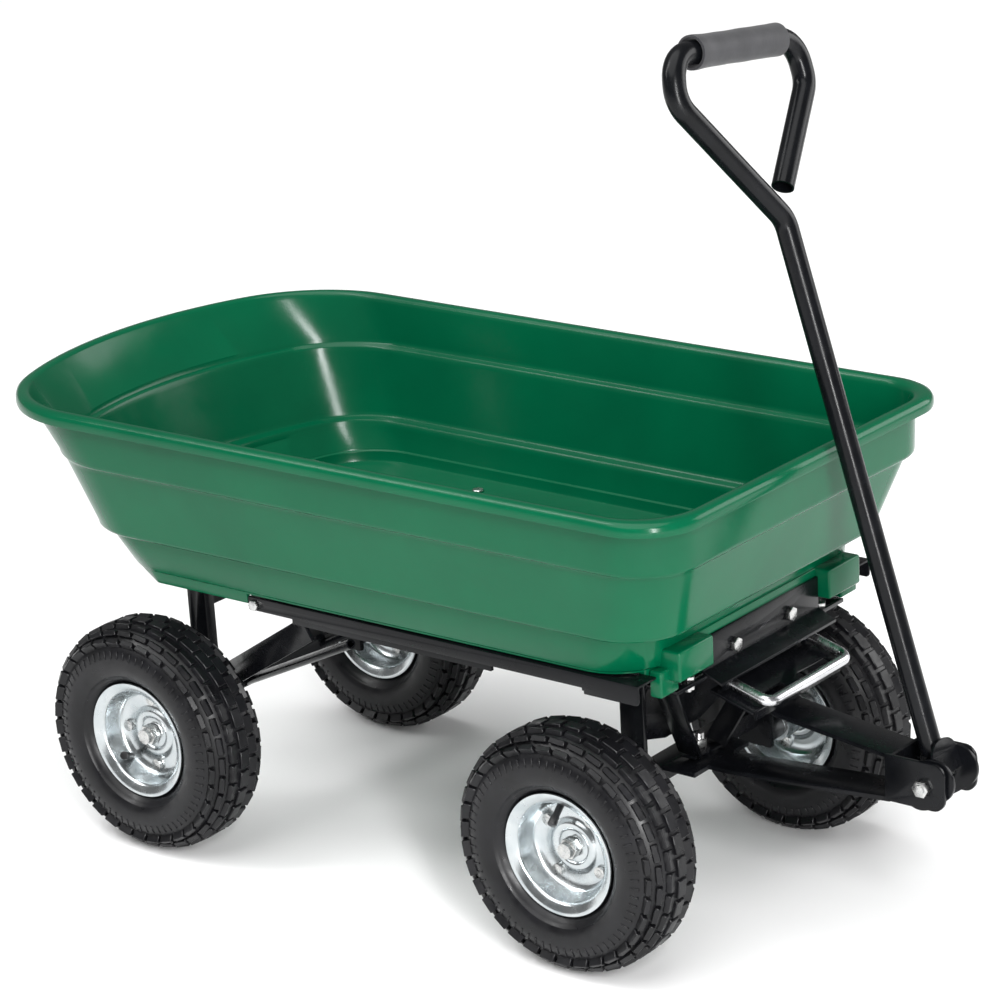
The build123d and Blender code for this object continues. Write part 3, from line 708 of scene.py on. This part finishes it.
@dataclass
class Tub:
    """The moulded tub: three stepped tiers, a rolled rim, a skirt and a recessed floor pan."""

    wall: float = 4.0
    floor_under: float = 314.0
    skirt: Level = Level(303.0, 202.0, 197.0, -26.0, 644.0, 14.0)
    seam: Level = Level(317.0, 205.0, 199.0, -69.0, 645.0, 84.0)
    low_two: Level = Level(353.0, 213.0, 206.0, -94.0, 648.0, 80.0)
    step_two: Level = Level(358.0, 226.0, 218.0, -108.0, 674.0, 96.0)
    low_one: Level = Level(430.0, 239.0, 233.0, -142.0, 699.0, 108.0)
    step_one: Level = Level(435.0, 247.0, 241.0, -150.0, 707.0, 126.0)
    top: Level = Level(490.0, 249.0, 243.0, -192.0, 708.0, 138.0)
    floor_inside: Level = Level(318.0, 205.0, 199.0, -69.0, 637.0, 84.0)
    bolt_head: tuple[float, float] = (169.0, 161.0)
    bolt_head_radius: float = 6.5
    bolt_head_depth: float = 3.2
    bolt_head_middle: float = 319.5
    channel: tuple[Corner, Corner] = ((155.0, 171.5, 296.0), (651.0, 213.0, 313.9))
    front_block: tuple[Corner, Corner] = ((636.0, 101.0, 303.2), (665.0, 158.0, 334.0))
    foot: tuple[Corner, Corner] = ((638.2, 142.0, 289.0), (652.0, 171.0, 316.0))
    pad: tuple[Corner, Corner] = ((640.2, -101.5, 294.0), (648.5, 101.5, 333.8))

    def rings(self) -> list[Level]:
        """Outlines in order, from the underside round the rim to the floor."""
        skirt, seam, low_two, step_two = self.skirt, self.seam, self.low_two, self.step_two
        low_one, step_one, top = self.low_one, self.step_one, self.top
        inside = -self.wall
        return [
            skirt.at(inside, self.floor_under),
            skirt.at(inside, 304.0),
            skirt.at(inside + 0.6, 303.3),
            skirt.at(-0.6, 303.0),
            skirt.at(0.0, 303.8),
            seam.at(-1.2, 315.6),
            seam.at(0.0, 316.6),
            seam.at(0.9, 317.8),
            low_two.at(-0.6, 350.0),
            low_two.at(0.0, 353.0),
            low_two.at(2.0, 355.6),
            step_two.at(-1.8, 357.0),
            step_two.at(-0.2, 358.6),
            step_two.at(0.2, 361.5),
            low_one.at(-0.4, 427.0),
            low_one.at(0.2, 430.0),
            low_one.at(1.6, 432.6),
            step_one.at(-1.6, 434.0),
            step_one.at(-0.2, 435.8),
            step_one.at(0.1, 439.0),
            top.at(-0.2, 486.0),
            top.at(9.6, 488.0),
            top.at(10.2, 481.0),
            top.at(11.2, 479.4),
            top.at(12.4, 480.0),
            top.at(13.0, 482.4),
            top.at(12.8, 487.5),
            top.at(11.2, 491.4),
            top.at(8.0, 493.5),
            top.at(3.4, 494.0),
            top.at(-0.6, 493.2),
            top.at(-3.2, 490.6),
            top.at(-4.4, 486.0),
            step_one.at(inside + 0.2, 445.0),
            step_one.at(inside - 0.2, 441.4),
            step_one.at(inside - 1.4, 439.4),
            low_one.at(inside + 1.6, 437.8),
            low_one.at(inside, 435.4),
            low_one.at(inside - 0.5, 431.0),
            step_two.at(inside + 0.5, 367.0),
            step_two.at(inside - 0.2, 363.6),
            step_two.at(inside - 1.6, 361.8),
            low_two.at(inside + 2.0, 360.6),
            low_two.at(inside, 357.8),
            low_two.at(inside - 0.6, 353.0),
            self.floor_inside.at(inside + 2.6, 332.0),
            self.floor_inside.at(inside + 2.2, 330.6),
            self.floor_inside.at(inside - 0.4, 329.4),
            self.floor_inside.at(inside - 0.8, 328.0),
            self.floor_inside.at(inside - 1.4, 320.6),
            self.floor_inside.at(inside - 2.4, 318.6),
            self.floor_inside.at(inside - 4.4, 318.0),
        ]

    def shell(self) -> bpy.types.Object:
        """Extrude the tub ring by ring into one closed wall.

        Returns:
            The shell.
        """
        rings = self.rings()
        first = rings[0].outline()
        bpy.ops.mesh.primitive_circle_add(vertices=len(first), radius=0.2, fill_type="NOTHING")
        piece = bpy.context.object
        piece.name = "tub_shell"
        mesh = edit(piece)
        mesh.verts.ensure_lookup_table()
        for vert, place in zip(mesh.verts, first):
            vert.co = place
        bmesh.update_edit_mesh(piece.data)
        bpy.ops.mesh.select_all(action="SELECT")
        for ring in rings[1:]:
            bpy.ops.mesh.extrude_region_move(TRANSFORM_OT_translate={"value": (0, 0, MM)})
            mesh = bmesh.from_edit_mesh(piece.data)
            places = ring.outline()
            base = len(mesh.verts) - len(first)
            for vert in mesh.verts:
                if vert.select:
                    vert.co = places[vert.index - base]
            bmesh.update_edit_mesh(piece.data)
        bpy.ops.mesh.edge_face_add()
        bpy.ops.mesh.select_all(action="DESELECT")
        mesh = bmesh.from_edit_mesh(piece.data)
        mesh.verts.ensure_lookup_table()
        for vert in mesh.verts[: len(first)]:
            vert.select = True
        mesh.select_flush(True)
        bmesh.update_edit_mesh(piece.data)
        bpy.ops.mesh.edge_face_add()
        bpy.ops.mesh.select_all(action="SELECT")
        bpy.ops.mesh.normals_make_consistent(inside=False)
        bpy.ops.object.mode_set(mode="OBJECT")
        return piece

    def bolt_heads(self) -> None:
        """Domed bolt heads on the floor, one each side."""
        heads = []
        for side in (-1, 1):
            bpy.ops.mesh.primitive_cylinder_add(
                vertices=32, radius=self.bolt_head_radius * MM, depth=self.bolt_head_depth * MM
            )
            head = bpy.context.object
            x, y = self.bolt_head
            head.location = (REAR_X + x * MM, side * y * MM, self.bolt_head_middle * MM)
            place_in_mesh(head)
            soften_edges(head, 1.5, 4)
            heads.append(head)
        joined = join_all(heads, "floor_bolt_heads")
        shade(joined, 40.0)
        settle(joined, "tipping_tub", FASTENER_ZINC, ())

    def block(
        self, name: str, corners: tuple[Corner, Corner], side: int, round_mm: float
    ) -> bpy.types.Object:
        """A moulded block with rounded edges.

        Args:
            name: the block's name.
            corners: lowest and highest corner, X from the rear axle, in millimetres, on the left.
            side: +1 as given, -1 mirrored to the right.
            round_mm: edge radius, or 0 for sharp edges.

        Returns:
            The block.
        """
        low, high = corners
        size = [(b - a) * MM for a, b in zip(low, high)]
        middle = [(a + b) / 2 * MM for a, b in zip(low, high)]
        place = (REAR_X + middle[0], side * middle[1], middle[2])
        bpy.ops.mesh.primitive_cube_add(size=1, location=place)
        made = bpy.context.object
        made.name = name
        made.scale = size
        place_in_mesh(made)
        if round_mm:
            soften_edges(made, round_mm, 3)
        return made

    def build(self) -> None:
        """Make the tub with its front blocks, feet and rail channels."""
        shell = self.shell()
        cutter = join_all([self.block("cut", self.channel, side, 0.0) for side in (-1, 1)], "rail_channels")
        apply_modifier(shell, "BOOLEAN", operation="DIFFERENCE", solver="EXACT", object=cutter)
        bpy.data.objects.remove(cutter)
        extras = [shell]
        for side in (-1, 1):
            extras.append(self.block("block", self.front_block, side, 2.5))
            extras.append(self.block("foot", self.foot, side, 2.0))
        extras.append(self.block("pad", self.pad, 1, 0.8))
        tub = join_all(extras, "tub_body")
        shade(tub, 38.0)
        settle(tub, "tipping_tub", POLYPROPYLENE, ("tub",))
        self.bolt_heads()


# ---------------------------------------------------------------- wheels
@dataclass
class Tyre:
    """A knobbly pneumatic tyre, built once round the origin with its outer side at +Y."""

    lug_depth: float = 2.8
    block_height: float = 6.0
    pitches: int = 34
    steps: int = 136
    crown: tuple[tuple[float, float], ...] = (
        (0.0, 127.0),
        (12.0, 126.2),
        (19.0, 124.2),
        (28.0, 119.4),
        (34.0, 113.2),
        (38.0, 106.0),
    )
    rib_size: tuple[float, float, float] = (9.0, 1.6, 2.0)
    rib_radius: float = 98.2
    rib_from_middle: float = 39.7
    rib_lean: float = -15.0

    def outer(self, y: float) -> float:
        """Radius of the tread's top surface.

        Args:
            y: distance from the middle plane, in millimetres.

        Returns:
            The radius in millimetres.
        """
        y = abs(y)
        for (y0, r0), (y1, r1) in zip(self.crown, self.crown[1:]):
            if y <= y1:
                return r0 + (r1 - r0) * (y - y0) / (y1 - y0)
        return self.crown[-1][1]

    def carcass(self) -> bpy.types.Object:
        """The plain tyre body under the lugs.

        Returns:
            The turned body.
        """
        deep = self.lug_depth
        half = [
            (0.0, 127.0 - deep),
            (12.0, 126.0 - deep),
            (19.0, 124.0 - deep),
            (27.0, 119.2 - deep),
            (32.5, 112.6 - deep * 0.9),
            (36.6, 106.0 - deep * 0.5),
            (39.2, 100.0),
            (40.6, 94.6),
            (41.0, 89.0),
            (40.7, 84.0),
            (39.6, 79.0),
            (37.6, 74.6),
            (36.9, 73.6),
            (36.3, 73.4),
            (34.4, 70.6),
            (31.4, 67.8),
            (28.4, 65.6),
            (27.0, 64.6),
            (24.0, 61.0),
            (20.0, 56.4),
        ]
        right = [(r, y) for y, r in half]
        left = [(r, -y) for y, r in half[:0:-1]]
        return turned("tyre_carcass", left + right, self.steps)

    def lug(self, y: float, width: float, length: float, turn: float) -> bpy.types.Object:
        """One tread block, bevelled, standing on the carcass.

        Args:
            y: middle of the block across the tread.
            width: size across the tread.
            length: size round the tyre.
            turn: place round the tyre, in degrees.

        Returns:
            The block.
        """
        inner, outer = y - width / 2, y + width / 2
        slope = math.atan2(self.outer(outer) - self.outer(inner), outer - inner)
        top = (self.outer(inner) + self.outer(outer)) / 2
        bpy.ops.mesh.primitive_cube_add(size=1)
        made = bpy.context.object
        made.scale = (self.block_height * MM, width / math.cos(slope) * MM, length * MM)
        place_in_mesh(made)
        mesh = edit(made)
        for vert in mesh.verts:
            if vert.co.x > 0:
                vert.co.y *= 0.93
                vert.co.z *= 0.95
        close(made)
        soften_edges(made, 0.7, 1)
        tip = Matrix.Rotation(slope, 4, "Z")
        out = Matrix.Translation(((top - self.block_height / 2) * MM, y * MM, 0))
        made.data.transform(Matrix.Rotation(math.radians(turn), 4, "Y") @ out @ tip)
        return made

    def rib(self, side: int, turn: float) -> bpy.types.Object:
        """One short radial rib under the shoulder lugs.

        Args:
            side: +1 or -1, the side of the tyre.
            turn: place round the tyre, in degrees.

        Returns:
            The rib.
        """
        bpy.ops.mesh.primitive_cube_add(size=1)
        made = bpy.context.object
        made.scale = [length * MM for length in self.rib_size]
        place_in_mesh(made)
        soften_edges(made, 0.4, 1)
        lean = Matrix.Rotation(math.radians(self.rib_lean * side), 4, "Z")
        out = Matrix.Translation((self.rib_radius * MM, side * self.rib_from_middle * MM, 0))
        made.data.transform(Matrix.Rotation(math.radians(turn), 4, "Y") @ out @ lean)
        return made

    def build(self) -> bpy.types.Object:
        """Make the whole tyre.

        Returns:
            The tyre, round the origin.
        """
        pitch = 360.0 / self.pitches
        pattern = [self.lug(0.0, 13.6, 20.0, 0.0)]
        for side in (-1, 1):
            pattern.append(self.lug(side * 14.0, 11.6, 20.0, pitch / 2))
            pattern.append(self.lug(side * 25.4, 9.0, 18.6, 0.0))
            pattern.append(self.lug(side * 34.0, 7.4, 16.6, pitch / 2))
            pattern += [self.rib(side, pitch * (0.25 + 0.5 * i)) for i in (0, 1)]
        first = join_all(pattern, "tread_pitch")
        pieces = [self.carcass(), first]
        for number in range(1, self.pitches):
            turn = Matrix.Rotation(math.radians(pitch * number), 4, "Y")
            pieces.append(copy_piece(first, "tread_pitch_" + str(number), turn))
        tyre = join_all(pieces, "tyre_pattern")
        shade(tyre, 40.0)
        return tyre


@dataclass
class Rim:
    """One pressed half of the bolted rim, turned round the origin."""

    steps: int = 96

    def half(self, name: str, outward: int) -> bpy.types.Object:
        """Turn one half.

        Args:
            name: the piece's name.
            outward: +1 for the outer half, -1 for the inner half.

        Returns:
            The rim half.
        """
        profile = [
            (17.0, 0.0),
            (44.0, 0.0),
            (47.0, 2.4),
            (50.6, 6.6),
            (54.4, 21.6),
            (55.6, 23.6),
            (57.6, 25.4),
            (61.6, 27.2),
            (63.4, 28.4),
            (64.2, 30.0),
            (63.6, 31.3),
            (62.2, 31.6),
            (59.4, 30.2),
            (54.6, 28.0),
            (52.8, 26.4),
            (51.8, 24.0),
            (48.4, 9.4),
            (47.2, 6.6),
            (45.2, 4.6),
            (43.0, 3.4),
            (41.8, 2.6),
            (31.0, 2.5),
            (28.6, 3.0),
            (26.8, 4.4),
            (25.2, 6.2),
            (23.4, 6.9),
            (19.6, 6.9),
            (18.4, 6.3),
            (17.0, 4.8),
        ]
        piece = turned(name, [(r, outward * y) for r, y in profile], self.steps)
        shade(piece, 42.0)
        return piece


@dataclass
class Wheels:
    """The four wheels: tyre and rim halves built once and copied."""

    turns: dict[Spot, float] = field(
        default_factory=lambda: {
            Spot.FRONT_LEFT: 14.0,
            Spot.FRONT_RIGHT: 3.0,
            Spot.REAR_LEFT: 27.0,
            Spot.REAR_RIGHT: 8.0,
        }
    )

    def build(self) -> None:
        """Make all four wheels."""
        patterns = {
            "tyre": (Tyre().build(), "tyre_rubber", RUBBER),
            "rim_outer": (Rim().half("rim_outer_pattern", 1), "zinc_wheel", ZINC),
            "rim_inner": (Rim().half("rim_inner_pattern", -1), "zinc_wheel", ZINC),
        }
        for spot in Spot:
            facing = Matrix.Rotation(0.0 if spot.side > 0 else math.pi, 4, "Z")
            spin = Matrix.Rotation(math.radians(self.turns[spot]), 4, "Y")
            place = Matrix.Translation(spot.centre) @ facing @ spin
            for stem, (pattern, slot, finish) in patterns.items():
                node = stem + "_" + spot.value
                made = copy_piece(pattern, node + "_finished", place)
                settle(made, "wheel_" + spot.value, finish, (node,))
        for pattern, _, _ in patterns.values():
            bpy.data.objects.remove(pattern)


# ---------------------------------------------------------------- grip
@dataclass
class Grip:
    """The foam sleeve on the handle's loop, a little swollen and uneven."""

    inner: float = 11.1
    outer: float = 15.4
    half_length: float = 67.0
    swell: float = 0.25
    flare: float = 1.5
    flare_reach: float = 7.0
    stations: int = 24
    along: tuple[float, float, float] = (0.0280, 0.9953, -0.0917)

    def build(self) -> None:
        """Turn the sleeve and lay it along the loop's top run."""
        low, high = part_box("grip")
        centre = (low + high) / 2
        half = self.half_length
        profile = [(self.inner + 2.2, half - 0.6), (self.inner, half - 9.0)]
        profile += [(self.inner, -half + 9.0), (self.inner + 2.2, -half + 0.6)]
        profile += [(self.inner + 3.0, -half)]
        for i in range(self.stations + 1):
            y = -half + 0.4 + (2 * half - 0.8) * i / self.stations
            flare = self.flare * math.exp(-(half - abs(y)) / self.flare_reach)
            lip = 0.9 if i in (0, self.stations) else 0.0
            wave = self.swell * math.sin(y * 0.13) * math.cos(y * 0.047)
            profile.append((self.outer + wave + flare - lip, y))
        profile += [(self.inner + 3.0, half)]
        made = turned("foam_grip", profile, 72)
        shade(made, 40.0)
        along = Vector(self.along).normalized()
        turn = Vector((0, 1, 0)).rotation_difference(along).to_matrix().to_4x4()
        made.data.transform(Matrix.Translation(centre) @ turn)
        settle(made, "pull_handle", FOAM, ("grip",))


# ---------------------------------------------------------------- studio
@dataclass(frozen=True)
class Softbox:
    """One soft rectangular light: where it hangs and its size in metres, and its power in watts."""

    name: str
    place: tuple[float, float, float]
    size: tuple[float, float]
    power: float


@dataclass
class Studio:
    """Pale floor, soft lights and the camera."""

    target: Vector = field(default_factory=lambda: Vector((REAR_X + 0.3969, 0.0, 0.2480)))
    distance: float = 3.4812
    azimuth: float = 38.21
    elevation: float = 21.0
    roll: float = -3.0
    lens: float = 121.8
    shift: tuple[float, float] = (-0.058, 0.1347)
    floor_size: float = 80.0
    aim: tuple[float, float, float] = (0.0, 0.0, 0.35)
    sky_from: tuple[float, float, float] = (-0.1, -0.3, 1.0)
    sky_strength: float = 2.75
    sky_spread: float = 70.0
    air_strength: float = 0.2
    boxes: tuple[Softbox, ...] = (
        Softbox("camera_side_box", (3.1, -2.5, 1.7), (0.45, 3.0), 210.0),
        Softbox("front_wall_box", (2.3, 3.4, 1.8), (2.8, 2.0), 70.0),
        Softbox("top_strip", (-1.6, -1.4, 2.6), (0.5, 1.8), 22.0),
    )

    def camera(self) -> None:
        """Set the camera at the viewing angle."""
        a, e = math.radians(self.azimuth), math.radians(self.elevation)
        back = Vector((math.sin(a) * math.cos(e), -math.cos(a) * math.cos(e), math.sin(e)))
        data = bpy.data.cameras.new("camera")
        data.lens = self.lens
        data.sensor_width = 36.0
        data.shift_x, data.shift_y = self.shift
        data.clip_end = 50.0
        camera = bpy.data.objects.new("camera", data)
        look = (-back).to_track_quat("-Z", "Y").to_matrix().to_4x4()
        spun = look @ Matrix.Rotation(math.radians(self.roll), 4, "Z")
        camera.matrix_world = Matrix.Translation(self.target + back * self.distance) @ spun
        bpy.context.scene.collection.objects.link(camera)
        bpy.context.scene.camera = camera

    def hang(self, box: Softbox) -> None:
        """Hang one softbox, aimed at the cart."""
        data = bpy.data.lights.new(box.name, "AREA")
        data.shape = "RECTANGLE"
        data.size, data.size_y = box.size
        data.energy = box.power
        lamp = bpy.data.objects.new(box.name, data)
        turn = (Vector(self.aim) - Vector(box.place)).to_track_quat("-Z", "Y").to_matrix().to_4x4()
        lamp.matrix_world = Matrix.Translation(box.place) @ turn
        bpy.context.scene.collection.objects.link(lamp)

    def sky(self) -> None:
        """Add one broad even light from above."""
        data = bpy.data.lights.new("broad_light", "SUN")
        data.energy = self.sky_strength
        data.angle = math.radians(self.sky_spread)
        lamp = bpy.data.objects.new("broad_light", data)
        turn = (-Vector(self.sky_from)).to_track_quat("-Z", "Y").to_matrix().to_4x4()
        lamp.matrix_world = Matrix.Translation((0.0, 0.0, 4.0)) @ turn
        bpy.context.scene.collection.objects.link(lamp)

    def floor(self) -> None:
        """Lay a pale matt floor under the cart."""
        bpy.ops.mesh.primitive_plane_add(size=self.floor_size, location=(0, 0, 0))
        sheet = bpy.context.object
        sheet.name = "studio_floor"
        paper = bpy.data.materials.new("white_studio_paper")
        paper.use_nodes = True
        shader = paper.node_tree.nodes["Principled BSDF"]
        shader.inputs["Base Color"].default_value = linear("#F7F7F7")
        shader.inputs["Roughness"].default_value = 0.95
        shader.inputs["Specular IOR Level"].default_value = 0.1
        sheet.data.materials.append(paper)

    def build(self) -> None:
        """Set up the whole studio."""
        self.floor()
        self.camera()
        self.sky()
        for box in self.boxes:
            self.hang(box)
        world = bpy.data.worlds.new("studio_air")
        world.use_nodes = True
        air = world.node_tree.nodes["Background"]
        air.inputs["Color"].default_value = linear("#FFFFFF")
        air.inputs["Strength"].default_value = self.air_strength
        bpy.context.scene.world = world
        bpy.context.scene.view_settings.view_transform = "Standard"


def main() -> None:
    """Build the cart in order and set up the studio."""
    logging.basicConfig(level=logging.INFO, format="%(name)s: %(message)s")
    bpy.context.preferences.edit.use_global_undo = False
    deselect()
    Tub().build()
    Wheels().build()
    Grip().build()
    MachinedParts().build()
    Studio().build()


if __name__ == "__main__":
    main()
